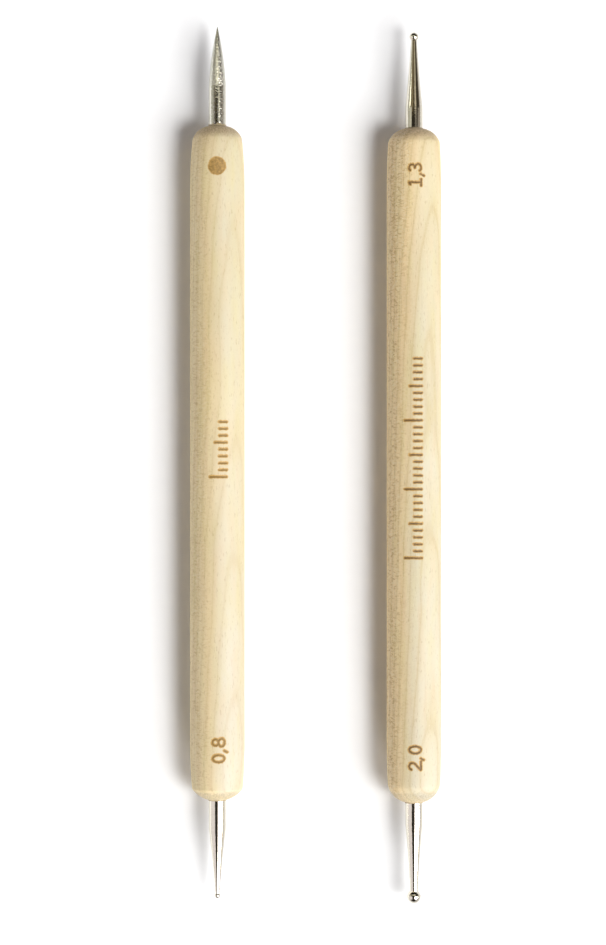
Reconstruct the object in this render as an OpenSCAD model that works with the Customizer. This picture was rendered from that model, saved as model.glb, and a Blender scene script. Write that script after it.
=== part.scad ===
// A matched pair of double-ended embossing styluses, lying side by side on a flat surface.
// One has a ball tip at each end. The other has a smaller ball tip and a needle.
// Each is a turned wooden handle with a steel shank glued into a blind bore at each end.
// Millimetres. Z is up and the styluses lie along Y. The origin is on the surface, under the
// middle of the pair. The needle and the medium ball point toward +Y.

/* [Pair] */
// Distance between the axes of the two styluses
pair_pitch = 28.8; // [16:0.1:60]
// How much farther toward -Y the ball stylus lies
pair_stagger = 0.35; // [0:0.05:5]

/* [Handles] */
// Diameter of the dowel that a handle is turned from
handle_d = 8; // [6:0.1:14]
// Length of a handle from one bore mouth to the other
handle_len = 98.6; // [65:0.1:160]
// Length over which the barrel narrows toward each shoulder
lead_len = 7; // [2:0.1:9]
// Width of the flat rim of wood round each bore mouth
mouth_rim = 0.05; // [0.02:0.01:0.2]

/* [Handle end at the needle] */
// How far the shoulder is drawn in from the barrel
needle_end_step = 0.38; // [0.05:0.01:0.8]
// Height of the dome from the shoulder to the bore mouth
needle_end_dome = 1.9; // [0.8:0.1:4]
// Bulge of the dome beyond a straight cone
needle_end_bulge = 0.28; // [0.05:0.01:0.5]

/* [Handle end at the fine ball] */
// How far the shoulder is drawn in from the barrel
fine_end_step = 0.3; // [0.05:0.01:0.8]
// Height of the dome from the shoulder to the bore mouth
fine_end_dome = 1.6; // [0.8:0.05:4]
// Bulge of the dome beyond a straight cone
fine_end_bulge = 0.1; // [0.05:0.01:0.5]

/* [Handle end at the medium ball] */
// How far the shoulder is drawn in from the barrel
medium_end_step = 0.21; // [0.05:0.01:0.8]
// Height of the dome from the shoulder to the bore mouth
medium_end_dome = 2.05; // [0.8:0.05:4]
// Bulge of the dome beyond a straight cone
medium_end_bulge = 0.36; // [0.05:0.01:0.5]

/* [Handle end at the large ball] */
// How far the shoulder is drawn in from the barrel
large_end_step = 0.16; // [0.05:0.01:0.8]
// Height of the dome from the shoulder to the bore mouth
large_end_dome = 2.65; // [0.8:0.05:4]
// Bulge of the dome beyond a straight cone
large_end_bulge = 0.45; // [0.05:0.01:0.5]

/* [Steel shanks] */
// Diameter of the wire that the shanks and the needle are turned from
shank_d = 2.5; // [2:0.05:4]
// Depth that a shank goes into its handle
tang_len = 12; // [6:0.5:25]
// Chamfer on the buried end of a shank
tang_chamfer = 0.3; // [0.1:0.05:0.6]
// Length of the straight neck that is left between a taper and its ball
neck_land = 0.12; // [0.05:0.01:0.3]

/* [Needle] */
// Distance from the bore mouth to the needle's tip
needle_reach = 14.6; // [11:0.05:25]
// Length of the ground point
needle_point_len = 8.7; // [4:0.1:10]
// Bulge of the point beyond a straight cone
needle_point_bulge = 0.19; // [0.02:0.01:0.4]
// Diameter of the blunted tip
needle_tip_d = 0.08; // [0.04:0.01:0.4]

/* [Fine ball tip] */
// Diameter of the ball
fine_ball_d = 0.8; // [0.7:0.05:2.4]
// Diameter of the neck behind the ball
fine_neck_d = 0.6; // [0.3:0.02:0.66]
// Distance from the bore mouth to the far side of the ball
fine_reach = 14.45; // [13:0.05:25]
// Length of the taper from the wire down to the neck
fine_taper_len = 9.4; // [4:0.1:10]
// Hollow of the taper below a straight cone
fine_taper_hollow = 0.05; // [0.01:0.01:0.12]

/* [Medium ball tip] */
// Diameter of the ball
medium_ball_d = 1.3; // [1:0.05:3]
// Diameter of the neck behind the ball
medium_neck_d = 0.86; // [0.4:0.02:0.94]
// Distance from the bore mouth to the far side of the ball
medium_reach = 14.15; // [13.5:0.05:25]
// Length of the taper from the wire down to the neck
medium_taper_len = 9.7; // [4:0.1:10]
// Hollow of the taper below a straight cone
medium_taper_hollow = 0.04; // [0.01:0.01:0.12]

/* [Large ball tip] */
// Diameter of the ball
large_ball_d = 2; // [1.3:0.05:5]
// Diameter of the neck behind the ball
large_neck_d = 1.15; // [0.5:0.05:1.25]
// Distance from the bore mouth to the far side of the ball
large_reach = 14.85; // [13.5:0.05:25]
// Length of the taper from the wire down to the neck
large_taper_len = 9.6; // [4:0.1:10]
// Hollow of the taper below a straight cone
large_taper_hollow = 0.06; // [0.01:0.01:0.12]

/* [Glue] */
// Thickness of the glue all round a buried shank
glue_film = 0.1; // [0.05:0.01:0.3]
// Height of the glue that creeps up the shank at the bore mouth
glue_rise = 0.15; // [0.05:0.01:0.4]
// Free depth left under a buried shank, above the drill point
bore_relief = 0.8; // [0.2:0.1:2]
// Point angle of the drill that makes the bores
drill_angle = 118; // [90:1:140]

/* [Hidden] */

$fn = 96;
wood_colour = "#ecdab5";
steel_colour = "#c8c5bd";
glue_colour = "#e2cf9c";

handle_r = handle_d / 2;
shank_r = shank_d / 2;
bore_r = shank_r + glue_film;
drill_point_len = bore_r / tan(drill_angle / 2);
// How far a cut runs past the face that it opens
cut_over = 0.5;
// Straight steps that an arc is drawn with
dome_steps = 6;
lead_steps = 5;
taper_steps = 6;
rise_steps = 3;

// The stagger is shared out so that the pair's outer tips end equally far from the origin
needle_top = pair_stagger / 2 + needle_reach;
fine_bottom = pair_stagger / 2 - fine_reach;
medium_top = -pair_stagger / 2 + medium_reach;
large_bottom = -pair_stagger / 2 - large_reach;
centre_shift = -(max(needle_top, medium_top) + min(fine_bottom, large_bottom)) / 2;
needle_stylus_y = centre_shift + pair_stagger / 2;
ball_stylus_y = centre_shift - pair_stagger / 2;

// Points along the arc from a to b that bulges by rise to the left of the way from a to b.
// A rise below zero bulges to the right.
function arc_points(a, b, rise, steps) =
    let (
        half = norm(b - a) / 2,
        along = (b - a) / (2 * half),
        left = [-along.y, along.x],
        radius = (half * half + rise * rise) / (2 * rise),
        centre = (a + b) / 2 + left * (rise - radius),
        sweep = 2 * asin(half / radius)
    )
    [for (i = [0:steps])
        let (turn = sweep * (i / steps - 0.5))
        centre + radius * (left * cos(turn) + along * sin(turn))];

// Rise of an arc that starts along a straight line and has left it by step after run
function easing_rise(run, step) =
    let (radius = (run * run + step * step) / (2 * step))
    radius * (1 - cos(asin(run / radius) / 2));

// The same points in the opposite order
function reversed(points) = [for (i = [len(points) - 1:-1:0]) points[i]];

// Outline of one handle end from the bore mouth to the barrel, as [radius, depth]
function end_outline(step, dome, bulge) =
    let (
        mouth = [bore_r + mouth_rim, 0],
        shoulder = [handle_r - step, dome],
        barrel = [handle_r, dome + lead_len]
    )
    concat(
        arc_points(mouth, shoulder, -bulge, dome_steps),
        arc_points(shoulder, barrel, -easing_rise(lead_len, step), lead_steps)
    );

// Blind bore with a drill point, open at the origin toward +Z
module blind_bore() {
    depth = tang_len + bore_relief;
    translate([0, 0, -depth])
        cylinder(h = depth + cut_over, r = bore_r);
    translate([0, 0, -depth - drill_point_len])
        cylinder(h = drill_point_len, r1 = 0, r2 = bore_r);
}

// Turned handle centred on the origin along Z, from the outlines of its two ends
module handle(top_end, bottom_end) {
    half_len = handle_len / 2;
    top = [for (p = top_end) [p.x, half_len - p.y]];
    bottom = [for (p = bottom_end) [p.x, p.y - half_len]];
    color(wood_colour)
        difference() {
            rotate_extrude()
                polygon(concat([[0, -half_len]], bottom, reversed(top), [[0, half_len]]));
            translate([0, 0, half_len])
                blind_bore();
            translate([0, 0, -half_len])
                mirror([0, 0, 1])
                    blind_bore();
        }
}

// Outline of the buried part of a shank, from its end on the axis to its wall
tang_outline = [
    [0, -tang_len],
    [shank_r - tang_chamfer, -tang_len],
    [shank_r, -tang_len + tang_chamfer]
];

// Distance from a ball's centre to where a neck of neck_d meets its surface
function neck_depth(ball_d, neck_d) = sqrt(ball_d * ball_d - neck_d * neck_d) / 2;

// Shank with its mouth at the origin: tang, straight wire, hollow taper and a cup for the ball
module ball_shank(ball_d, neck_d, reach, taper_len, hollow) {
    ball_z = reach - ball_d / 2;
    neck_z = ball_z - neck_depth(ball_d, neck_d) - neck_land;
    taper = arc_points([shank_r, neck_z - taper_len], [neck_d / 2, neck_z], hollow, taper_steps);
    color(steel_colour)
        difference() {
            rotate_extrude()
                polygon(concat(tang_outline, taper, [[neck_d / 2, ball_z], [0, ball_z]]));
            translate([0, 0, ball_z])
                sphere(d = ball_d);
        }
}

// Steel ball that is welded into the cup of its shank
module tip_ball(ball_d, reach) {
    color(steel_colour)
        translate([0, 0, reach - ball_d / 2])
            sphere(d = ball_d);
}

// Glue round a buried shank, with the small hollow rise that it leaves at the bore mouth
module shank_glue() {
    rise = arc_points([bore_r, 0], [shank_r, glue_rise], -glue_film / 5, rise_steps);
    foot_z = -tang_len + tang_chamfer;
    color(glue_colour)
        rotate_extrude()
            polygon(concat([[shank_r, foot_z], [bore_r, foot_z]], rise));
}

// Needle with its mouth at the origin: tang, straight wire and a ground point
module ground_needle() {
    point = arc_points(
        [shank_r, needle_reach - needle_point_len], [needle_tip_d / 2, needle_reach],
        -needle_point_bulge, taper_steps
    );
    color(steel_colour)
        rotate_extrude()
            polygon(concat(tang_outline, point, [[0, needle_reach]]));
}

// Lays a stylus along Y with its own +Z toward +Y, its barrel on the surface
module lay(x, y) {
    translate([x, y, handle_r])
        rotate([-90, 0, 0])
            children();
}

module lay_ball_stylus() {
    lay(pair_pitch / 2, ball_stylus_y)
        children();
}

module lay_needle_stylus() {
    lay(-pair_pitch / 2, needle_stylus_y)
        children();
}

// Moves a piece from the origin to the bore mouth at a handle's +Z end
module at_top() {
    translate([0, 0, handle_len / 2])
        children();
}

// Moves a piece to the bore mouth at a handle's -Z end and turns it over
module at_bottom() {
    mirror([0, 0, 1])
        at_top()
            children();
}

module ball_stylus_handle() {
    lay_ball_stylus()
        handle(
            end_outline(medium_end_step, medium_end_dome, medium_end_bulge),
            end_outline(large_end_step, large_end_dome, large_end_bulge)
        );
}

module large_shank() {
    lay_ball_stylus()
        at_bottom()
            ball_shank(large_ball_d, large_neck_d, large_reach, large_taper_len, large_taper_hollow);
}

module large_ball() {
    lay_ball_stylus()
        at_bottom()
            tip_ball(large_ball_d, large_reach);
}

module large_shank_glue() {
    lay_ball_stylus()
        at_bottom()
            shank_glue();
}

module medium_shank() {
    lay_ball_stylus()
        at_top()
            ball_shank(
                medium_ball_d, medium_neck_d, medium_reach, medium_taper_len, medium_taper_hollow
            );
}

module medium_ball() {
    lay_ball_stylus()
        at_top()
            tip_ball(medium_ball_d, medium_reach);
}

module medium_shank_glue() {
    lay_ball_stylus()
        at_top()
            shank_glue();
}

module needle_stylus_handle() {
    lay_needle_stylus()
        handle(
            end_outline(needle_end_step, needle_end_dome, needle_end_bulge),
            end_outline(fine_end_step, fine_end_dome, fine_end_bulge)
        );
}

module fine_shank() {
    lay_needle_stylus()
        at_bottom()
            ball_shank(fine_ball_d, fine_neck_d, fine_reach, fine_taper_len, fine_taper_hollow);
}

module fine_ball() {
    lay_needle_stylus()
        at_bottom()
            tip_ball(fine_ball_d, fine_reach);
}

module fine_shank_glue() {
    lay_needle_stylus()
        at_bottom()
            shank_glue();
}

module needle() {
    lay_needle_stylus()
        at_top()
            ground_needle();
}

module needle_glue() {
    lay_needle_stylus()
        at_top()
            shank_glue();
}

ball_stylus_handle();
large_shank();
large_ball();
large_shank_glue();
medium_shank();
medium_ball();
medium_shank_glue();
needle_stylus_handle();
fine_shank();
fine_ball();
fine_shank_glue();
needle();
needle_glue();
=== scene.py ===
import math

import bpy
import numpy as np
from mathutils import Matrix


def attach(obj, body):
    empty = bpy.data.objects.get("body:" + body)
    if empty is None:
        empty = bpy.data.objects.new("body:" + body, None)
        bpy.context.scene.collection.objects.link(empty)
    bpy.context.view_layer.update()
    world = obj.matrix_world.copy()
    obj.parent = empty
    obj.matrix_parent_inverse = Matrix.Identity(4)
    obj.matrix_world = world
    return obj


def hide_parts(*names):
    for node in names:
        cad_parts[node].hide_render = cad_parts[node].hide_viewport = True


# A pair of double-ended embossing styluses that lie side by side on a white table.
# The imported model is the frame: each piece below lies where its CAD node lies.
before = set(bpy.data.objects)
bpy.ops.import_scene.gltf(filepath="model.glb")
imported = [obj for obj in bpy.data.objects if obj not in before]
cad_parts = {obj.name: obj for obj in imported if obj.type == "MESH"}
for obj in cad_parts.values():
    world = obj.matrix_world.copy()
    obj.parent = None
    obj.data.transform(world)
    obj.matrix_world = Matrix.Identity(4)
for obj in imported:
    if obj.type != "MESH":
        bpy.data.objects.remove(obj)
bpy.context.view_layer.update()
MM = 0.001

# The camera looks straight down on the pair, as in the photograph.
# The level of the two axes fills the frame from top to bottom with 138.5 mm.
axis_height = 4 * MM
camera_height = 475 * MM
frame_height = 138.46 * MM
view_centre = (-1.853 * MM, -1.09 * MM)
camera_data = bpy.data.cameras.new("overhead_camera")
camera_data.sensor_fit = "VERTICAL"
camera_data.sensor_height = 36
camera_data.lens = camera_data.sensor_height * camera_height / frame_height
camera_data.clip_start = 10 * MM
camera = bpy.data.objects.new("overhead_camera", camera_data)
camera.location = (*view_centre, axis_height + camera_height)
bpy.context.scene.collection.objects.link(camera)
bpy.context.scene.camera = camera
bpy.context.scene.view_settings.view_transform = "Standard"

# A wide soft box hangs on the right and a little toward the viewer, over the large ball end.
# It holds one small lamp, and another stands low at its side. A low fill from the near side
# clears the shadows of the lower shanks, and a low bounce lifts the left flanks of the handles.


def toward(across, along):
    """Direction that leans from straight up by across toward +X, then by along toward +Y, in degrees."""
    a = math.radians(across)
    b = math.radians(along)
    return np.array([math.sin(a) * math.cos(b), math.sin(b), math.cos(a) * math.cos(b)])


def panel(name, direction, distance, size, level):
    """A round soft light aimed at the pair. Its level is what a white card that faces it would show."""
    data = bpy.data.lights.new(name, "AREA")
    data.shape = "DISK"
    data.size = size
    data.energy = level * (math.pi * distance) ** 2
    light = bpy.data.objects.new(name, data)
    light.location = direction * distance
    light.rotation_euler = (-light.location).to_track_quat("-Z", "Y").to_euler()
    light.visible_camera = False
    bpy.context.scene.collection.objects.link(light)
    return light


room_level = 0.14
panel("soft_box", toward(37, -20), distance=2.0, size=1.5, level=0.96)
panel("soft_box_lamp", toward(29, -14), distance=2.0, size=0.56, level=0.22)
panel("side_lamp", toward(66, -14), distance=2.0, size=0.56, level=0.14)
front_fill = panel("front_fill", toward(38, -70), distance=1.5, size=0.42, level=0.5)
front_fill.visible_glossy = False
bounce = panel("low_left_bounce", toward(-78, -5), distance=1.5, size=1.0, level=0.24)
bounce.visible_glossy = False


def srgb(text):
    """The linear colour of an sRGB hex value, with full opacity."""
    parts = [int(text[i : i + 2], 16) / 255 for i in (1, 3, 5)]
    return [p / 12.92 if p <= 0.04045 else ((p + 0.055) / 1.055) ** 2.4 for p in parts] + [1.0]


def add(tree, kind, inputs=None, **settings):
    """Adds one node with its settings. An input is a value, or the output that feeds it."""
    made = tree.nodes.new(kind)
    for name, value in settings.items():
        setattr(made, name, value)
    for name, value in (inputs or {}).items():
        if isinstance(value, bpy.types.NodeSocket):
            tree.links.new(value, made.inputs[name])
        else:
            made.inputs[name].default_value = value
    return made


# Straight on and in reflections the room is plain white. Everything else gets its low level.
world = bpy.data.worlds.new("white_room")
bpy.context.scene.world = world
world.use_nodes = True
tree = world.node_tree
tree.nodes.clear()
path = add(tree, "ShaderNodeLightPath")
white_seen = add(
    tree, "ShaderNodeMath", {0: path.outputs["Is Camera Ray"], 1: path.outputs["Is Glossy Ray"]},
    operation="MAXIMUM",
)
level = add(
    tree, "ShaderNodeMapRange", {"Value": white_seen.outputs[0], "To Min": room_level, "To Max": 1.0}
)
sky = add(tree, "ShaderNodeBackground", {"Color": srgb("#fff9fd"), "Strength": level.outputs[0]})
add(tree, "ShaderNodeOutputWorld", {"Surface": sky.outputs[0]})

# Dark flags and grey boards hang round the set, and only the polished steel shows them.
# Each fills a patch of the view from the pair, from and to in degrees as toward() takes them.
board_distance = 3.0


def reflected_sheet(name, points, faces, colour, level):
    """A sheet with its own plain brightness, which only reflections see."""
    paint = bpy.data.materials.new(name)
    paint.use_nodes = True
    tree = paint.node_tree
    tree.nodes.clear()
    glow = add(tree, "ShaderNodeEmission", {"Color": srgb(colour), "Strength": level})
    add(tree, "ShaderNodeOutputMaterial", {"Surface": glow.outputs[0]})
    mesh = bpy.data.meshes.new(name)
    mesh.from_pydata(points, [], faces)
    mesh.materials.append(paint)
    made = bpy.data.objects.new(name, mesh)
    made.visible_camera = False
    made.visible_diffuse = False
    made.visible_shadow = False
    made.visible_transmission = False
    made.visible_volume_scatter = False
    bpy.context.scene.collection.objects.link(made)


def board(name, across, along, colour, level):
    """One board on the sphere round the set."""
    side = 13
    columns = np.linspace(across[0], across[1], side)
    rows = np.linspace(along[0], along[1], side)
    points = [tuple(toward(a, b) * board_distance) for b in rows for a in columns]
    faces = []
    for i in range(side - 1):
        for k in range(side - 1):
            corner = i * side + k
            faces.append((corner, corner + 1, corner + side + 1, corner + side))
    reflected_sheet(name, points, faces, colour, level)


def level_sheet(name, x, y, height, colour, level):
    """One level sheet over a stretch of x and of y, at a height, all in millimetres."""
    points = [(x[i] * MM, y[k] * MM, height * MM) for i, k in ((0, 0), (1, 0), (1, 1), (0, 1))]
    reflected_sheet(name, points, [(0, 1, 2, 3)], colour, level)


board("camera_and_arm", (-31, 4), (-60, 2), "#e8d8c0", 0.035)
board("far_flag", (-38, 14), (2, 12), "#e8d8b8", 0.04)
board("far_flag_edge", (14, 30), (2, 12), "#fff4e0", 0.2)
board("far_right_flag", (30, 58), (2, 12), "#fff0dc", 0.12)
board("far_right_board", (58, 92), (2, 12), "#fff4e4", 0.4)
board("far_left_flag", (-55, -38), (2, 12), "#fff6e8", 0.3)
board("far_left_board", (-92, -55), (2, 12), "#fcfaec", 0.6)
board("back_left_board", (-92, -52), (12, 24), "#fafae8", 0.6)
board("back_brown_board", (-52, -9), (12, 24), "#f2dcae", 0.27)
board("back_gap", (-9, 7), (12, 24), "#e0c890", 0.02)
board("back_strip", (7, 31), (12, 24), "#fff2d4", 0.62)
board("back_right_flag", (31, 76), (12, 24), "#f4e4c8", 0.06)
board("back_right_board", (76, 92), (12, 24), "#fff4e4", 0.42)
board("wall_left", (-92, -26), (24, 34), "#f8f8e6", 0.36)
board("wall_light", (-26, 22), (24, 34), "#fffde8", 1.5)
board("wall_right", (22, 92), (24, 34), "#f2f0dc", 0.1)
board("wall_dark", (-92, 80), (34, 88), "#f0e8dc", 0.02)
board("dark_floor_edge", (-75, 60), (-88, -46), "#f0e0d0", 0.03)
board("near_right_edge", (79, 89), (-80, 0), "#fff0dc", 0.62)

# Painted dark reflections: a little way beyond both ends of the pair, dark sheets lie on the white card,
# and only reflections see them, so the steel shows dark there.
# Two small cards over the needle light its ground surface from close by.
level_sheet("dark_reflected_sheet_beyond", (-900, 900), (84, 1200), 0.05, "#f0e8dc", 0.03)
level_sheet("dark_reflected_sheet_nearer", (-900, 900), (-1200, -88), 0.05, "#f0e8dc", 0.03)
level_sheet("point_card", (-24, -9), (60.2, 66), 23, "#fffcea", 2.6)
level_sheet("wire_card", (-9.5, 1), (52.0, 57.6), 23, "#fffcea", 0.8)

# The table is a sheet of matt white card, large enough to fill every view.
# It keeps the soft shadow at the left of each stylus.
table_half = 1.5
fibre_size = 2 * MM
card = bpy.data.materials.new("matt_white_card")
card.use_nodes = True
tree = card.node_tree
tree.nodes.clear()
spots = add(tree, "ShaderNodeTexCoord")
fibre = add(
    tree, "ShaderNodeTexNoise", {"Vector": spots.outputs["Object"], "Scale": 1 / fibre_size, "Detail": 3.0}
)
tone = add(
    tree, "ShaderNodeMix", {0: fibre.outputs[0], 6: srgb("#fcfcfc"), 7: srgb("#ffffff")}, data_type="RGBA"
)
matt = add(tree, "ShaderNodeBsdfDiffuse", {"Color": tone.outputs[2], "Roughness": 0.5})
add(tree, "ShaderNodeOutputMaterial", {"Surface": matt.outputs[0]})
corners = [(x * table_half, y * table_half, 0) for x, y in ((-1, -1), (1, -1), (1, 1), (-1, 1))]
table_mesh = bpy.data.meshes.new("table")
table_mesh.from_pydata(corners, [], [(0, 1, 2, 3)])
table_mesh.materials.append(card)
table = bpy.data.objects.new("table", table_mesh)
bpy.context.scene.collection.objects.link(table)

# The handles are sanded maple dowel, turned down toward each end and domed round the bores.
# Ball sizes are burned in a fine line near the ends, with a millimetre scale on the middle.
# Lengths from here on are in millimetres.
handle_d = 8.0
handle_len = 98.6
lead_len = 7.0
mouth_rim = 0.05
shank_d = 2.5
glue_film = 0.1
tang_len = 12.0
bore_relief = 0.8
drill_angle = 118
pair_half_pitch = 14.4
ball_stylus = (pair_half_pitch, -0.05)
needle_stylus = (-pair_half_pitch, 0.3)
handle_r = handle_d / 2
bore_r = shank_d / 2 + glue_film


def arc_points(a, b, rise, steps):
    """Points on the arc from a to b that bulges by rise to the left of the way."""
    a = np.array(a, float)
    b = np.array(b, float)
    half = np.linalg.norm(b - a) / 2
    along = (b - a) / (2 * half)
    left = np.array([-along[1], along[0]])
    radius = (half * half + rise * rise) / (2 * rise)
    centre = (a + b) / 2 + left * (rise - radius)
    turns = 2 * math.asin(half / radius) * (np.arange(steps + 1) / steps - 0.5)
    return [tuple(centre + radius * (left * math.cos(t) + along * math.sin(t))) for t in turns]


def easing_rise(run, step):
    """Rise of an arc that starts along the barrel and has left it by step after run."""
    radius = (run * run + step * step) / (2 * step)
    return radius * (1 - math.cos(math.asin(run / radius) / 2))


def dome_outline(step, dome, bulge):
    """The dome of one handle end from the bore mouth to the sanded shoulder, as radius and depth."""
    arc = arc_points((bore_r + mouth_rim, 0), (handle_r - step, dome), -bulge, 24)
    shoulder = arc[-1]
    sanded_in = (0.02, 0.03)
    sanded_on = 0.12
    eased = (shoulder[0] - sanded_in[0], shoulder[1] - sanded_in[1])
    return arc[:-1] + [eased, (shoulder[0], shoulder[1] + sanded_on)]


def lead_outline(step, dome, bulge):
    """The long easing of one handle end from the shoulder to the barrel, as radius and depth."""
    rise = easing_rise(lead_len, step)
    return arc_points((handle_r - step, dome), (handle_r, dome + lead_len), -rise, 30)


on_axis = 1e-6


def revolve(name, outline, around, place):
    """Turns an outline of (radius, y) round an axis along Y at place. A radius of 0 is a point."""
    count = len(around)
    points = []
    starts = []
    for radius, y in outline:
        starts.append(len(points))
        angles = around if radius > on_axis else around[:1]
        for angle in angles:
            across = place[0] + radius * math.sin(angle)
            up = handle_r + radius * math.cos(angle)
            points.append((across * MM, (place[1] + y) * MM, up * MM))
    faces = []
    for i in range(len(outline) - 1):
        a = starts[i]
        b = starts[i + 1]
        for k in range(count):
            n = (k + 1) % count
            if outline[i][0] <= on_axis:
                faces.append((a, b + k, b + n))
            elif outline[i + 1][0] <= on_axis:
                faces.append((a + k, b, a + n))
            else:
                faces.append((a + k, b + k, b + n, a + n))
    mesh = bpy.data.meshes.new(name)
    mesh.from_pydata(points, [], faces)
    mesh.validate()
    mesh.shade_smooth()
    mesh.set_sharp_from_angle(angle=math.radians(35))
    made = bpy.data.objects.new(name, mesh)
    bpy.context.scene.collection.objects.link(made)
    return made


def bore_outline():
    """The blind drilled bore from the bottom of the drill point to the mouth, as radius and depth."""
    depth = tang_len + bore_relief
    point = bore_r / math.tan(math.radians(drill_angle / 2))
    return [(0.0, depth + point), (bore_r, depth), (bore_r, 0.0)]


# The burned lines, drawn as paths: along the text, and up from its line. The wood is burned by its
# distance from them, and the filled dot counts as dot_distance from a line all over.
stroke_half = 0.12
groove_depth = 0.06
groove_floor_half = 0.06
groove_wall = 0.13
dot_distance = 0.11
far_away = 9.0


def bow(centre, half_width, half_height, start, end):
    """Points along an ellipse, from one angle to another in degrees."""
    turns = np.radians(np.linspace(start, end, 24))
    return [(centre[0] + half_width * math.cos(t), centre[1] + half_height * math.sin(t)) for t in turns]


# The figures stand about 2 mm high on the line, and each starts at its own left edge.
def zero():
    return [bow((0.7, 1.03), 0.52, 0.88, 0, 360)]


def one():
    return [[(0.62, 0.14), (0.62, 1.92), (0.3, 1.7)], [(0.12, 0.14), (1.05, 0.14)]]


def two():
    top = bow((0.72, 1.4), 0.5, 0.52, 160, -35)
    return [top + [(0.3, 0.3), (0.2, 0.14), (1.4, 0.14)]]


def three():
    return [bow((0.6, 1.5), 0.48, 0.43, 140, -90) + bow((0.6, 0.6), 0.56, 0.46, 90, -140)]


def eight():
    return [bow((0.75, 1.5), 0.46, 0.44, 0, 360), bow((0.75, 0.6), 0.57, 0.46, 0, 360)]


def comma():
    return [[(0.42, 0.2), (0.18, -0.3)]]


def shifted(paths, along, up=0.0):
    """The same paths, moved along the line of text and up from it."""
    return [[(u + along, v + up) for u, v in path] for path in paths]


def scale_ticks(count):
    """A millimetre scale: a long tick every ten, a middle one every five and short ones between."""
    short = 1.1
    middle = 1.75
    long = 2.5
    ticks = []
    for i in range(count):
        reach = short
        if i % 10 == 0:
            reach = long
        elif i % 5 == 0:
            reach = middle
        ticks.append([(float(i), 0.0), (float(i), reach)])
    return ticks


def segments(paths):
    """All straight steps of the paths, as an array of their two ends."""
    steps = [(a, b) for path in paths for a, b in zip(path[:-1], path[1:])]
    return np.array(steps)


def distance_to(points, steps):
    """Distance from each point to the nearest step."""
    best = np.full(len(points), far_away)
    for a, b in steps:
        way = b - a
        share = np.clip(((points - a) @ way) / (way @ way), 0, 1)
        best = np.minimum(best, np.linalg.norm(points - a - share[:, None] * way, axis=1))
    return best


def spread(stops):
    """Positions that fill each stretch of (start, end, step) evenly."""
    filled = [np.linspace(a, b, max(1, round((b - a) / step)), endpoint=False) for a, b, step in stops]
    return np.concatenate(filled)


def marked_stretches(steps, dot):
    """The stretches along the handle that hold a burned mark, from start to end."""
    step_margin = 0.35
    dot_margin = 0.3
    lows = steps[:, :, 0].min(axis=1)
    highs = steps[:, :, 0].max(axis=1)
    stretches = []
    for i in np.argsort(lows):
        low = lows[i] - step_margin
        high = highs[i] + step_margin
        if stretches and low <= stretches[-1][1]:
            stretches[-1][1] = max(stretches[-1][1], high)
        else:
            stretches.append([low, high])
    if dot is not None:
        stretches.append([dot[0] - dot[2] - dot_margin, dot[0] + dot[2] + dot_margin])
    return sorted(stretches)


def handle_mesh(name, place, top_end, bottom_end, line_offset, marks, dot):
    """A handle with its burned marks. Marks are paths on the line of text, which runs toward +Y
    at line_offset round the handle. The dot is its place along and up, and its radius."""
    # The rows and columns of the mesh are close together only where the marks are.
    fine_step = 0.075
    row_step = 0.7
    turn_step = 0.5
    marked_half = 2.2
    burnt_half_turn = 3.2
    burnt_least_radius = 3.2
    half_len = handle_len / 2
    steps = segments(marks)
    lead = [(r, d - half_len) for r, d in lead_outline(*bottom_end)]
    lead += [(r, half_len - d) for r, d in reversed(lead_outline(*top_end))]
    lead_radius = [r for r, y in lead]
    lead_y = [y for r, y in lead]
    stretches = []
    start = lead_y[0] + place[1]
    for low, high in marked_stretches(steps, dot):
        stretches.append((start, low, row_step))
        stretches.append((low, high, fine_step))
        start = high
    stretches.append((start, lead_y[-1] + place[1], row_step))
    rows = spread(stretches)[1:] - place[1]
    bore = bore_outline()
    outline = [(r, depth - half_len) for r, depth in bore]
    outline += [(r, depth - half_len) for r, depth in dome_outline(*bottom_end)]
    outline += list(zip(np.interp(rows, lead_y, lead_radius), rows))
    outline += [(r, half_len - depth) for r, depth in reversed(dome_outline(*top_end))]
    outline += [(r, half_len - depth) for r, depth in reversed(bore)]
    marked = marked_half / handle_r
    coarse_turn = turn_step / handle_r
    fine_turn = fine_step / handle_r
    around = spread(
        [(-math.pi, -marked, coarse_turn), (-marked, marked, fine_turn), (marked, math.pi, coarse_turn)]
    )
    made = revolve(name, outline, around, place)
    mesh = made.data
    places = np.empty(len(mesh.vertices) * 3, np.float32)
    mesh.vertices.foreach_get("co", places)
    places = places.reshape(-1, 3) / MM
    across = places[:, 0] - place[0]
    up = places[:, 2] - handle_r
    radius = np.hypot(across, up)
    arc = handle_r * np.arctan2(across, up)
    flat = np.stack([places[:, 1], line_offset - arc], axis=1)
    away = np.full(len(places), far_away)
    near = (np.abs(arc) < burnt_half_turn) & (radius > burnt_least_radius)
    away[near] = distance_to(flat[near], steps)
    if dot is not None:
        gap = np.hypot(flat[:, 0] - dot[0], flat[:, 1] - dot[1]) - (dot[2] - stroke_half)
        filled = np.maximum(gap, 0) + dot_distance
        away = np.where(near, np.minimum(away, filled), away)
    share = np.clip((away - groove_floor_half) / groove_wall, 0, 1)
    depth = groove_depth * (1 - share * share * (3 - 2 * share))
    shrink = (radius - depth) / np.maximum(radius, on_axis)
    places[:, 0] = place[0] + across * shrink
    places[:, 2] = handle_r + up * shrink
    mesh.vertices.foreach_set("co", (places * MM).astype(np.float32).ravel())
    burn = mesh.attributes.new("burn_distance", "FLOAT", "POINT")
    burn.data.foreach_set("value", away.astype(np.float32))
    mesh.update()
    return made


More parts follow.
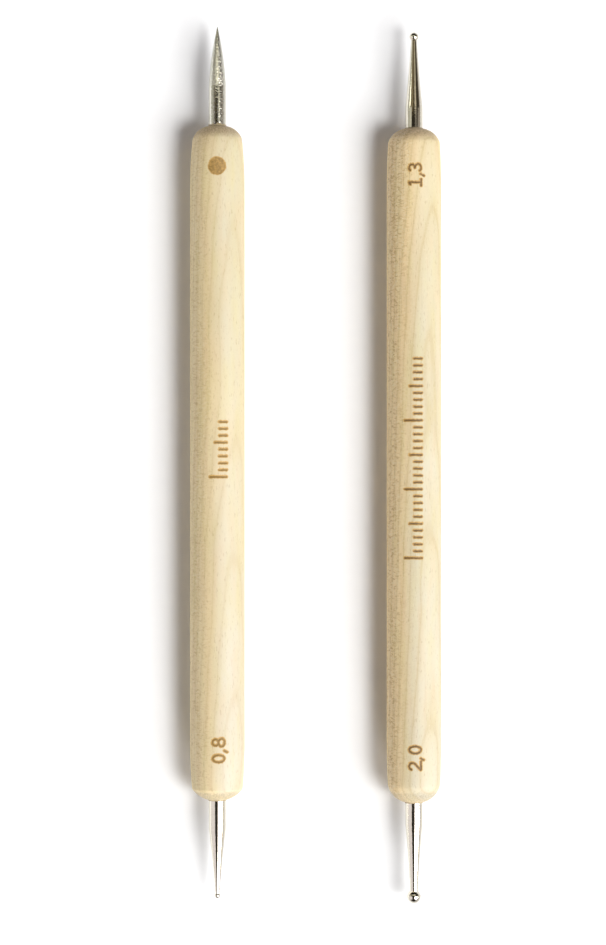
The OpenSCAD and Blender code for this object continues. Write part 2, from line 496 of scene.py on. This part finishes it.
def sanded_maple(name, place, tones, heart_edge, edge_slope, figure, veins, paling, char, seed):
    """Sanded, uncoated maple: tan beside the heart and cream toward the bark, with faint rings.

    The tan ends near heart_edge from the handle's axis, and its border leans by edge_slope. figure is
    how strongly the flecks show, veins the vessels, and paling how much the lower end pales. char is
    the colour in the middle of a burned line, and seed moves the whole pattern.
    """
    wood = bpy.data.materials.new(name)
    wood.use_nodes = True
    tree = wood.node_tree
    tree.nodes.clear()
    coords = add(tree, "ShaderNodeTexCoord")
    in_mm = add(
        tree, "ShaderNodeVectorMath",
        {0: coords.outputs["Object"], 1: (1 / MM, 1 / MM, 1 / MM), 2: (-place[0], -place[1], -handle_r)},
        operation="MULTIPLY_ADD",
    )

    # The bark lay to the upper right, so the grain's own axes are turned round the handle.
    # They run toward the bark, along the handle, and along the rings.
    bark_turn = math.radians(52)
    grain = add(tree, "ShaderNodeMapping", {"Vector": in_mm.outputs[0], "Rotation": (0, bark_turn, 0)})
    axes = add(tree, "ShaderNodeSeparateXYZ", {0: grain.outputs[0]})
    moved = add(tree, "ShaderNodeVectorMath", {0: grain.outputs[0], 1: (seed, seed, seed)}, operation="ADD")

    # The tan wood ends along a wandering border. Growth rings cross the handle at a slant,
    # so that they come out as long nested arches on the bark side.
    ring_width = 1.0
    ring_slope = 0.043
    wander_width = 1.8
    wander_size = (10, 25, 10)
    wander_at = add(
        tree, "ShaderNodeVectorMath", {0: moved.outputs[0], 1: [1 / c for c in wander_size]},
        operation="MULTIPLY",
    )
    wander = add(tree, "ShaderNodeTexNoise", {"Vector": wander_at.outputs[0], "Scale": 1.0, "Detail": 2.0})
    ring_place = add(
        tree, "ShaderNodeMath", {0: wander.outputs[0], 1: wander_width, 2: axes.outputs[0]},
        operation="MULTIPLY_ADD",
    )
    from_pith = add(
        tree, "ShaderNodeMath", {0: axes.outputs[1], 1: -edge_slope, 2: ring_place.outputs[0]},
        operation="MULTIPLY_ADD",
    )
    past_border = add(
        tree, "ShaderNodeMath", {0: from_pith.outputs[0], 1: heart_edge + wander_width / 2},
        operation="SUBTRACT",
    )
    years = add(
        tree, "ShaderNodeMath", {0: axes.outputs[1], 1: -ring_slope, 2: ring_place.outputs[0]},
        operation="MULTIPLY_ADD",
    )
    ring = add(tree, "ShaderNodeMath", {0: years.outputs[0], 1: ring_width / 2}, operation="PINGPONG")
    late = add(
        tree, "ShaderNodeMapRange", {"Value": ring.outputs[0], "From Min": 0.1, "From Max": 0.5},
        interpolation_type="SMOOTHSTEP",
    )
    edge_line = add(
        tree, "ShaderNodeMapRange", {"Value": ring.outputs[0], "From Min": 0.39, "From Max": 0.49},
        interpolation_type="SMOOTHSTEP",
    )
    bark_side = add(
        tree, "ShaderNodeMapRange", {"Value": past_border.outputs[0], "From Min": -1.2, "From Max": 1.3},
        interpolation_type="SMOOTHSTEP",
    )
    heart_share = add(
        tree, "ShaderNodeMapRange",
        {
            "Value": past_border.outputs[0], "From Min": -2.5, "From Max": -0.3,
            "To Min": figure, "To Max": 0.2 * figure,
        },
    )

    # Pores: short dashes along the grain, and the long vessels that several of them make.
    # Real ones are under 0.1 mm wide, too fine to show, so they are drawn wider.
    pore_size = (0.17, 0.8, 0.17)
    vessel_size = (0.25, 8, 0.4)
    pore_at = add(
        tree, "ShaderNodeVectorMath", {0: moved.outputs[0], 1: [1 / c for c in pore_size]},
        operation="MULTIPLY",
    )
    pore = add(tree, "ShaderNodeTexNoise", {"Vector": pore_at.outputs[0], "Scale": 1.0, "Detail": 2.0})
    dash = add(
        tree, "ShaderNodeMapRange", {"Value": pore.outputs[0], "From Min": 0.57, "From Max": 0.75},
        interpolation_type="SMOOTHSTEP",
    )
    vessel_at = add(
        tree, "ShaderNodeVectorMath", {0: moved.outputs[0], 1: [1 / c for c in vessel_size]},
        operation="MULTIPLY",
    )
    vessel = add(tree, "ShaderNodeTexNoise", {"Vector": vessel_at.outputs[0], "Scale": 1.0, "Detail": 3.0})
    streak = add(
        tree, "ShaderNodeMapRange", {"Value": vessel.outputs[0], "From Min": 0.55, "From Max": 0.68},
        interpolation_type="SMOOTHSTEP",
    )
    vein = add(
        tree, "ShaderNodeMath", {0: streak.outputs[0], 1: heart_share.outputs[0]}, operation="MULTIPLY"
    )

    # Ray flecks: thin sheets of cells about 0.7 mm deep and 0.2 mm high, seen side on where the face
    # is quartered. They shine or look dark as they tilt, and both are painted into the colour: the bright
    # ones as painted shine, the dark ones as the rays' own tone with painted shade.
    ray_size = (0.7, 0.24, 0.45)
    ripple = add(tree, "ShaderNodeTexNoise", {"Vector": moved.outputs[0], "Scale": 1.1, "Detail": 2.0})
    rippled = add(
        tree, "ShaderNodeVectorMath", {0: ripple.outputs["Color"], 1: (0.0, 0.9, 0.0), 2: moved.outputs[0]},
        operation="MULTIPLY_ADD",
    )
    ray_at = add(
        tree, "ShaderNodeVectorMath", {0: rippled.outputs[0], 1: [1 / c for c in ray_size]},
        operation="MULTIPLY",
    )
    ray = add(
        tree, "ShaderNodeTexNoise",
        {"Vector": ray_at.outputs[0], "Scale": 1.0, "Detail": 2.0, "Roughness": 0.6},
    )
    off_side = add(tree, "ShaderNodeMath", {0: axes.outputs[2]}, operation="ABSOLUTE")
    quartered = add(
        tree, "ShaderNodeMapRange", {"Value": off_side.outputs[0], "From Min": 1.6, "From Max": 3.2},
        interpolation_type="SMOOTHSTEP",
    )
    ray_share = add(
        tree, "ShaderNodeMath", {0: quartered.outputs[0], 1: heart_share.outputs[0]}, operation="MULTIPLY"
    )
    dark_ray_tone_and_shade = add(
        tree, "ShaderNodeMapRange", {"Value": ray.outputs[0], "From Min": 0.5, "From Max": 0.7},
        interpolation_type="SMOOTHSTEP",
    )
    fleck_tone_and_painted_shade = add(
        tree, "ShaderNodeMath", {0: dark_ray_tone_and_shade.outputs[0], 1: ray_share.outputs[0]}, operation="MULTIPLY"
    )
    bright_ray_painted_shine = add(
        tree, "ShaderNodeMapRange", {"Value": ray.outputs[0], "From Min": 0.47, "From Max": 0.3},
        interpolation_type="SMOOTHSTEP",
    )
    fleck_painted_shine = add(
        tree, "ShaderNodeMath", {0: bright_ray_painted_shine.outputs[0], 1: ray_share.outputs[0]}, operation="MULTIPLY"
    )

    # Painted glints: bright specks painted into the colour where cell walls would catch the light. Real
    # ones are under 0.1 mm, and these are drawn coarser so that they show.
    speck_size = 0.25
    speck = add(
        tree, "ShaderNodeTexNoise", {"Vector": moved.outputs[0], "Scale": 1 / speck_size, "Detail": 2.0}
    )
    painted_glint_mask = add(
        tree, "ShaderNodeMapRange", {"Value": speck.outputs[0], "From Min": 0.6, "From Max": 0.72},
        interpolation_type="SMOOTHSTEP",
    )
    painted_glint = add(
        tree, "ShaderNodeMath", {0: painted_glint_mask.outputs[0], 1: heart_share.outputs[0]}, operation="MULTIPLY"
    )

    # Slow bands of colour that run with the grain, cloudy mottling, and faint green and pink stains.
    bands_per_mm = (0.9, 0.03, 0.3)
    clouds_per_mm = (0.5, 0.22, 0.5)
    stains_per_mm = (0.8, 0.12, 0.8)
    band_at = add(
        tree, "ShaderNodeVectorMath", {0: moved.outputs[0], 1: bands_per_mm}, operation="MULTIPLY"
    )
    band = add(tree, "ShaderNodeTexNoise", {"Vector": band_at.outputs[0], "Scale": 1.0, "Detail": 3.0})
    banded = add(tree, "ShaderNodeMapRange", {"Value": band.outputs[0], "From Min": 0.3, "From Max": 0.7})
    cloud_at = add(
        tree, "ShaderNodeVectorMath", {0: moved.outputs[0], 1: clouds_per_mm}, operation="MULTIPLY"
    )
    cloud = add(tree, "ShaderNodeTexNoise", {"Vector": cloud_at.outputs[0], "Scale": 1.0, "Detail": 4.0})
    clouded = add(
        tree, "ShaderNodeMapRange", {"Value": cloud.outputs[0], "From Min": 0.35, "From Max": 0.65}
    )
    stain_at = add(
        tree, "ShaderNodeVectorMath", {0: moved.outputs[0], 1: stains_per_mm}, operation="MULTIPLY"
    )
    stain = add(tree, "ShaderNodeTexNoise", {"Vector": stain_at.outputs[0], "Scale": 1.0, "Detail": 3.0})
    green = add(tree, "ShaderNodeMapRange", {"Value": stain.outputs[0], "From Min": 0.5, "From Max": 0.7})
    pink = add(tree, "ShaderNodeMapRange", {"Value": stain.outputs[0], "From Min": 0.5, "From Max": 0.3})

    # The wood pales toward the lower end, most on the bark side.
    low = add(tree, "ShaderNodeMapRange", {"Value": axes.outputs[1], "From Min": 25.0, "From Max": -50.0})
    pale = add(tree, "ShaderNodeMath", {0: low.outputs[0], 1: bark_side.outputs[0]}, operation="MULTIPLY")

    # Painted shade and sheen: the tan heart tone sits on the shaded left and is warmed there as painted
    # shade, and the greyer cream bark tone sits on the lit upper right, greyed as painted sheen. Both are
    # also the wood's own tones.
    heart = add(
        tree, "ShaderNodeMix", {0: banded.outputs[0], 6: srgb(tones[0]), 7: srgb(tones[1])},
        data_type="RGBA",
    )
    bark = add(
        tree, "ShaderNodeMix", {0: banded.outputs[0], 6: srgb("#cec6ac"), 7: srgb("#cac0a0")},
        data_type="RGBA",
    )
    body = add(
        tree, "ShaderNodeMix", {0: bark_side.outputs[0], 6: heart.outputs[2], 7: bark.outputs[2]},
        data_type="RGBA",
    )

    # Each layer is the share that it covers, its mask and its colour, from the broad tones to the finest.
    layers = [
        (0.15 * paling, low, "#fff2d8"),
        (paling, pale, "#d3cec2"),
        (0.25, clouded, "#d5c292"),
        (0.22, green, "#d3c887"),
        (0.2, pink, "#ddbf9d"),
        (0.09 * figure, late, "#bda56c"),
        (0.1 * figure, edge_line, "#b0935c"),
        (veins, vein, "#a9844f"),
        # Ray flecks: the dark ones are their own tone with painted shade, the bright ones are painted
        # shine.
        (0.3, fleck_tone_and_painted_shade, "#a6804a"),
        (0.32, fleck_painted_shine, "#e8dabc"),
        (0.32, dash, "#997949"),
        # Painted glints: bright specks of painted highlight.
        (0.34, painted_glint, "#f6e8ca"),
    ]
    for share, mask, colour in layers:
        covered = add(tree, "ShaderNodeMath", {0: mask.outputs[0], 1: share}, operation="MULTIPLY")
        body = add(
            tree, "ShaderNodeMix", {0: covered.outputs[0], 6: body.outputs[2], 7: srgb(colour)},
            data_type="RGBA",
        )

    # End grain on the domes is darker and greyer, with its pores as dots, and browner on the two upper
    # ends.
    across = add(tree, "ShaderNodeVectorMath", {0: in_mm.outputs[0], 1: (1, 0, 1)}, operation="MULTIPLY")
    radius = add(tree, "ShaderNodeVectorMath", {0: across.outputs[0]}, operation="LENGTH")
    end_grain = add(
        tree, "ShaderNodeMapRange", {"Value": radius.outputs["Value"], "From Min": 3.8, "From Max": 3.1},
        interpolation_type="SMOOTHSTEP",
    )
    upper = add(tree, "ShaderNodeMapRange", {"Value": axes.outputs[1], "From Min": -10.0, "From Max": 10.0})
    end_grain_pore_tone = add(
        tree, "ShaderNodeMapRange",
        {"Value": pore.outputs[0], "From Min": 0.34, "From Max": 0.7, "To Min": 0.3, "To Max": 0.8},
    )
    darkened_end_grain = add(
        tree, "ShaderNodeMath", {0: end_grain.outputs[0], 1: end_grain_pore_tone.outputs[0]}, operation="MULTIPLY"
    )
    upper_end_darkening = add(
        tree, "ShaderNodeMath", {0: darkened_end_grain.outputs[0], 1: upper.outputs[0]}, operation="MULTIPLY"
    )
    lower = add(tree, "ShaderNodeMapRange", {"Value": upper.outputs[0], "To Min": 0.9, "To Max": 0.0})
    lower_end_darkening = add(
        tree, "ShaderNodeMath", {0: darkened_end_grain.outputs[0], 1: lower.outputs[0]}, operation="MULTIPLY"
    )
    for mask, colour in ((lower_end_darkening, "#908674"), (upper_end_darkening, "#997e5d")):
        body = add(
            tree, "ShaderNodeMix", {0: mask.outputs[0], 6: body.outputs[2], 7: srgb(colour)},
            data_type="RGBA",
        )

    # Burned lines: brown along the middle, golden beside it, uneven as the beam leaves them.
    # Their edges wander by up to 0.34 mm, and the widths below count from the line with that added.
    burn = add(tree, "ShaderNodeAttribute", attribute_name="burn_distance")
    ragged_width = 0.34
    ragged_per_mm = 2.8
    ragged = add(
        tree, "ShaderNodeTexNoise",
        {"Vector": in_mm.outputs[0], "Scale": ragged_per_mm, "Detail": 3.0, "Roughness": 0.7},
    )
    burn_at = add(
        tree, "ShaderNodeMath", {0: ragged.outputs[0], 1: ragged_width, 2: burn.outputs["Fac"]},
        operation="MULTIPLY_ADD",
    )
    singed = add(
        tree, "ShaderNodeMapRange",
        {"Value": burn_at.outputs[0], "From Min": 0.5, "From Max": 0.36, "To Max": 0.9},
        interpolation_type="SMOOTHSTEP",
    )
    charred = add(
        tree, "ShaderNodeMapRange",
        {"Value": burn_at.outputs[0], "From Min": 0.38, "From Max": 0.22, "To Max": 0.95},
        interpolation_type="SMOOTHSTEP",
    )
    burn_colour = add(
        tree, "ShaderNodeMix", {0: charred.outputs[0], 6: srgb("#c09448"), 7: srgb(char)},
        data_type="RGBA",
    )
    surface = add(
        tree, "ShaderNodeMix", {0: singed.outputs[0], 6: body.outputs[2], 7: burn_colour.outputs[2]},
        data_type="RGBA",
    )

    # The sanded surface stays matt, with open pores and fine scratches from the paper,
    # which are drawn 0.2 mm apart so that they show.
    scratch_height = 0.03 * MM
    scratches_per_mm = (5.0, 1.2, 5.0)
    sanding_at = add(
        tree, "ShaderNodeVectorMath", {0: in_mm.outputs[0], 1: scratches_per_mm}, operation="MULTIPLY"
    )
    sanding = add(
        tree, "ShaderNodeTexNoise", {"Vector": sanding_at.outputs[0], "Scale": 1.0, "Detail": 4.0}
    )
    height = add(
        tree, "ShaderNodeMath", {0: dash.outputs[0], 1: -0.5, 2: sanding.outputs[0]},
        operation="MULTIPLY_ADD",
    )
    bump = add(
        tree, "ShaderNodeBump", {"Strength": 0.25, "Distance": scratch_height, "Height": height.outputs[0]}
    )
    rough = add(tree, "ShaderNodeMapRange", {"Value": sanding.outputs[0], "To Min": 0.5, "To Max": 0.66})
    shader = add(
        tree, "ShaderNodeBsdfPrincipled",
        {
            "Base Color": surface.outputs[2], "IOR": 1.5,
            "Roughness": rough.outputs[0], "Normal": bump.outputs[0],
        },
    )
    add(tree, "ShaderNodeOutputMaterial", {"Surface": shader.outputs[0]})
    return wood


# Each end of a handle: how far its shoulder stands in from the barrel, how deep its dome is,
# and how far the dome bulges over a straight cone.
large_end = (0.16, 2.65, 0.54)
medium_end = (0.21, 2.05, 0.45)
fine_end = (0.3, 1.6, 0.24)
needle_end = (0.38, 1.9, 0.42)

# The foot of each line of marks lies this far round to the right of the top. Below it, each mark has
# its place along the handle.
ball_line = 1.05
needle_line = 1.3
ball_marks = (
    shifted(one(), 40.5) + shifted(comma(), 41.9) + shifted(three(), 42.62)
    + shifted(two(), -44.5) + shifted(comma(), -43.05) + shifted(zero(), -42.08)
    + shifted(scale_ticks(30), -13.5, 0.05)
)
needle_marks = (
    shifted(zero(), -43.35) + shifted(comma(), -41.9) + shifted(eight(), -41.05)
    + shifted(scale_ticks(9), -1.7, -0.2)
)
needle_dot = (43.5, 1.25, 1.35)
ball_handle = handle_mesh(
    "ball_stylus_wood", ball_stylus, medium_end, large_end, ball_line, ball_marks, None
)
ball_wood = sanded_maple(
    "sanded_maple_ball_stylus", ball_stylus, tones=("#f2dbad", "#e7cc99"), heart_edge=2.8,
    edge_slope=0.015, figure=1.9, veins=0.2, paling=0.35, char="#5c3c08", seed=31.0,
)
ball_handle.data.materials.append(ball_wood)
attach(ball_handle, "ball_stylus")
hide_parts("ball_stylus_handle")
needle_handle = handle_mesh(
    "needle_stylus_wood", needle_stylus, needle_end, fine_end, needle_line, needle_marks, needle_dot
)
needle_wood = sanded_maple(
    "sanded_maple_needle_stylus", needle_stylus, tones=("#ead7a9", "#e0c896"), heart_edge=3.2,
    edge_slope=-0.004, figure=1.15, veins=0.13, paling=0.8, char="#80601e", seed=7.0,
)
needle_handle.data.materials.append(needle_wood)
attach(needle_handle, "needle_stylus")
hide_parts("needle_stylus_handle")

# The shanks are steel wire, turned to a hollow taper, plated with nickel and polished.
# The buried tang is glued into the bore, and a steel ball is welded into a cup in the end
# of the neck, under the same plate.
tang_chamfer = 0.3
neck_land = 0.12
shank_r = shank_d / 2
turns = np.linspace(-math.pi, math.pi, 96, endpoint=False)


def tang_outline():
    """The buried part of a shank, from its end on the axis to its wall."""
    chamfer_at = -tang_len + tang_chamfer
    return [(0.0, -tang_len), (shank_r - tang_chamfer, -tang_len), (shank_r, chamfer_at), (shank_r, 0.0)]


def polished_nickel():
    """Nickel plate on turned steel, polished: warm and bright, with faint turning rings and scratches."""
    metal = bpy.data.materials.new("polished_nickel_plate")
    metal.use_nodes = True
    tree = metal.node_tree
    tree.nodes.clear()
    coords = add(tree, "ShaderNodeTexCoord")
    in_mm = add(
        tree, "ShaderNodeVectorMath", {0: coords.outputs["Object"], 1: (1 / MM, 1 / MM, 1 / MM)},
        operation="MULTIPLY",
    )
    # Turning rings, broken up round the wire because the polish has half removed them, and scratches
    # that run along it. Real rings are under 0.1 mm apart, and these are drawn at 0.3 mm to show.
    rings_per_mm = (2.6, 3.4, 2.6)
    scratches_per_mm = (14.0, 1.0, 14.0)
    ring_at = add(
        tree, "ShaderNodeVectorMath", {0: in_mm.outputs[0], 1: rings_per_mm}, operation="MULTIPLY"
    )
    rings = add(tree, "ShaderNodeTexNoise", {"Vector": ring_at.outputs[0], "Scale": 1.0, "Detail": 2.0})
    scratch_at = add(
        tree, "ShaderNodeVectorMath", {0: in_mm.outputs[0], 1: scratches_per_mm}, operation="MULTIPLY"
    )
    scratches = add(
        tree, "ShaderNodeTexNoise", {"Vector": scratch_at.outputs[0], "Scale": 1.0, "Detail": 3.0}
    )
    height = add(
        tree, "ShaderNodeMath", {0: scratches.outputs[0], 1: 0.25, 2: rings.outputs[0]},
        operation="MULTIPLY_ADD",
    )
    bump = add(
        tree, "ShaderNodeBump", {"Strength": 0.4, "Distance": 0.02 * MM, "Height": height.outputs[0]}
    )
    rough = add(tree, "ShaderNodeMapRange", {"Value": scratches.outputs[0], "To Min": 0.04, "To Max": 0.14})
    tint = add(
        tree, "ShaderNodeMix", {0: rings.outputs[0], 6: srgb("#e2ddd0"), 7: srgb("#d6d0c1")},
        data_type="RGBA",
    )
    shader = add(
        tree, "ShaderNodeBsdfPrincipled",
        {
            "Base Color": tint.outputs[2], "Metallic": 1.0,
            "Roughness": rough.outputs[0], "Normal": bump.outputs[0],
        },
    )
    add(tree, "ShaderNodeOutputMaterial", {"Surface": shader.outputs[0]})
    return metal


nickel = polished_nickel()


def at_end(outline, side):
    """Moves an outline measured from a bore mouth to the handle's end on that side, +1 or -1."""
    return [(radius, side * (handle_len / 2 + out)) for radius, out in outline]


def ball_shank(name, ball_d, neck_d, reach, taper_len, hollow, place, side, body):
    """A shank from its buried end to the cup under its ball. Its taper is hollowed by a small arc."""
    ball_at = reach - ball_d / 2
    seat = math.sqrt(ball_d**2 - neck_d**2) / 2
    neck_at = ball_at - seat - neck_land
    taper = arc_points((shank_r, neck_at - taper_len), (neck_d / 2, neck_at), hollow, 40)
    cup = [
        (ball_d / 2 * math.sin(a), ball_at - ball_d / 2 * math.cos(a))
        for a in np.linspace(math.asin(neck_d / ball_d), 0, 6)
    ]
    outline = at_end(tang_outline() + taper + cup[:-1] + [(0.0, cup[-1][1])], side)
    made = revolve(name + "_steel", outline, turns, place)
    made.data.materials.append(nickel)
    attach(made, body)
    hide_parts(name)


def tip_ball(name, ball_d, reach, place, side, body):
    """A ball, welded into the cup of its shank."""
    half = ball_d / 2
    outline = [(half * math.sin(a), reach - half - half * math.cos(a)) for a in np.linspace(0, math.pi, 48)]
    outline[0] = (0.0, reach - ball_d)
    outline[-1] = (0.0, reach)
    made = revolve(name + "_steel", at_end(outline, side), turns, place)
    made.data.materials.append(nickel)
    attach(made, body)
    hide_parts(name)


# The ball diameter of each tip, and its reach from the bore mouth to the far side of the ball.
large_ball_d = 2.0
large_reach = 14.85
medium_ball_d = 1.3
medium_reach = 14.15
fine_ball_d = 0.8
fine_reach = 14.45
ball_shank(
    "large_shank", large_ball_d, neck_d=1.15, reach=large_reach, taper_len=9.6, hollow=0.06,
    place=ball_stylus, side=-1, body="ball_stylus",
)
ball_shank(
    "medium_shank", medium_ball_d, neck_d=0.86, reach=medium_reach, taper_len=9.7, hollow=0.04,
    place=ball_stylus, side=1, body="ball_stylus",
)
ball_shank(
    "fine_shank", fine_ball_d, neck_d=0.6, reach=fine_reach, taper_len=9.4, hollow=0.05,
    place=needle_stylus, side=-1, body="needle_stylus",
)
tip_ball("large_ball", large_ball_d, large_reach, ball_stylus, -1, "ball_stylus")
tip_ball("medium_ball", medium_ball_d, medium_reach, ball_stylus, 1, "ball_stylus")
tip_ball("fine_ball", fine_ball_d, fine_reach, needle_stylus, -1, "needle_stylus")

# The needle is bare steel of the same wire, ground to a long point with a slightly blunted tip.
# It is glued into the upper bore of the needle stylus, like the shanks.
needle_reach = 14.6
needle_point_len = 8.7
needle_point_bulge = 0.19
needle_tip_d = 0.08


def ground_steel():
    """Steel left as the grinding wheel leaves it: grey, satin on the point and brighter on the wire."""
    metal = bpy.data.materials.new("ground_steel")
    metal.use_nodes = True
    tree = metal.node_tree
    tree.nodes.clear()
    coords = add(tree, "ShaderNodeTexCoord")
    in_mm = add(
        tree, "ShaderNodeVectorMath", {0: coords.outputs["Object"], 1: (1 / MM, 1 / MM, 1 / MM)},
        operation="MULTIPLY",
    )
    # Grinding marks in all directions and faint rings round the wire. Real ones are hundredths of a
    # millimetre apart, and these are drawn 0.3 and 0.17 mm apart so that they show.
    grit_per_mm = 3.4
    rings_per_mm = (1.5, 6.0, 1.5)
    grit = add(
        tree, "ShaderNodeTexNoise", {"Vector": in_mm.outputs[0], "Scale": grit_per_mm, "Detail": 3.0}
    )
    ring_at = add(
        tree, "ShaderNodeVectorMath", {0: in_mm.outputs[0], 1: rings_per_mm}, operation="MULTIPLY"
    )
    rings = add(tree, "ShaderNodeTexNoise", {"Vector": ring_at.outputs[0], "Scale": 1.0, "Detail": 2.0})
    height = add(
        tree, "ShaderNodeMath", {0: rings.outputs[0], 1: 0.4, 2: grit.outputs[0]}, operation="MULTIPLY_ADD"
    )
    axes = add(tree, "ShaderNodeSeparateXYZ", {0: in_mm.outputs[0]})
    point_from = needle_stylus[1] + handle_len / 2 + needle_reach - needle_point_len
    blend_half = 0.1
    on_point = add(
        tree, "ShaderNodeMapRange",
        {
            "Value": axes.outputs[1],
            "From Min": point_from - blend_half, "From Max": point_from + blend_half,
        },
    )
    grit_strength = add(
        tree, "ShaderNodeMapRange", {"Value": on_point.outputs[0], "To Min": 0.25, "To Max": 0.8}
    )
    bump = add(
        tree, "ShaderNodeBump",
        {"Strength": grit_strength.outputs[0], "Distance": 0.13 * MM, "Height": height.outputs[0]},
    )
    satin = add(
        tree, "ShaderNodeMapRange", {"Value": on_point.outputs[0], "To Min": 0.08, "To Max": 0.14}
    )
    rough = add(
        tree, "ShaderNodeMath", {0: grit.outputs[0], 1: 0.12, 2: satin.outputs[0]},
        operation="MULTIPLY_ADD",
    )
    tint = add(
        tree, "ShaderNodeMix", {0: grit.outputs[0], 6: srgb("#d8d6cb"), 7: srgb("#c6c3b6")},
        data_type="RGBA",
    )
    shader = add(
        tree, "ShaderNodeBsdfPrincipled",
        {
            "Base Color": tint.outputs[2], "Metallic": 1.0,
            "Roughness": rough.outputs[0], "Normal": bump.outputs[0],
        },
    )
    add(tree, "ShaderNodeOutputMaterial", {"Surface": shader.outputs[0]})
    return metal


point = arc_points(
    (shank_r, needle_reach - needle_point_len), (needle_tip_d / 2, needle_reach), -needle_point_bulge, 48
)
needle = revolve(
    "needle_steel", at_end(tang_outline() + point + [(0.0, needle_reach)], 1), turns, needle_stylus
)
needle.data.materials.append(ground_steel())
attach(needle, "needle_stylus")
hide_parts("needle")

# The glue fills the bore round each shank and creeps a little way up it at the mouth.
# It has cured to a pale amber, and round the needle it stands higher where it was wiped off.
glue_rise = 0.15
needle_glue_rise = 0.25


def cured_glue():
    """Cured two-part glue: pale amber and glossy, with a few small bubbles."""
    bubble_size = 0.2 * MM
    glue = bpy.data.materials.new("cured_amber_glue")
    glue.use_nodes = True
    tree = glue.node_tree
    tree.nodes.clear()
    coords = add(tree, "ShaderNodeTexCoord")
    bubbles = add(
        tree, "ShaderNodeTexNoise",
        {"Vector": coords.outputs["Object"], "Scale": 1 / bubble_size, "Detail": 2.0},
    )
    tint = add(
        tree, "ShaderNodeMix", {0: bubbles.outputs[0], 6: srgb("#c9b894"), 7: srgb("#8c7a5c")},
        data_type="RGBA",
    )
    bump = add(
        tree, "ShaderNodeBump", {"Strength": 0.3, "Distance": 0.02 * MM, "Height": bubbles.outputs[0]}
    )
    shader = add(
        tree, "ShaderNodeBsdfPrincipled",
        {"Base Color": tint.outputs[2], "Roughness": 0.2, "IOR": 1.5, "Normal": bump.outputs[0]},
    )
    add(tree, "ShaderNodeOutputMaterial", {"Surface": shader.outputs[0]})
    return glue


amber = cured_glue()


def shank_glue(name, place, side, body, rise, steps, crumbs):
    """The glue round one buried shank, with its rise at the mouth. Crumbs says how ragged its edge is."""
    foot = -tang_len + tang_chamfer
    mouth = 0.02
    highest = 0.3
    meniscus = arc_points((bore_r, 0.0), (shank_r, rise), -glue_film / 5, steps)
    outline = at_end([(shank_r, foot), (bore_r, foot)] + meniscus + [(shank_r, foot)], side)
    made = revolve(name + "_amber", outline, turns, place)
    for vertex in made.data.vertices:
        out = side * (vertex.co.y / MM - place[1]) - handle_len / 2
        if out > mouth:
            angle = math.atan2(vertex.co.x / MM - place[0], vertex.co.z / MM - handle_r)
            wave = math.sin(3 * angle + 1) + math.sin(8 * angle) + math.sin(13 * angle + 2)
            vertex.co.y += side * crumbs * max(wave, 0.0) * min(out, highest) * MM
    made.data.materials.append(amber)
    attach(made, body)
    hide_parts(name)


shank_glue("large_shank_glue", ball_stylus, -1, "ball_stylus", glue_rise, steps=6, crumbs=0.1)
shank_glue("medium_shank_glue", ball_stylus, 1, "ball_stylus", glue_rise, steps=6, crumbs=0.1)
shank_glue("fine_shank_glue", needle_stylus, -1, "needle_stylus", glue_rise, steps=6, crumbs=0.1)
shank_glue("needle_glue", needle_stylus, 1, "needle_stylus", needle_glue_rise, steps=8, crumbs=0.5)
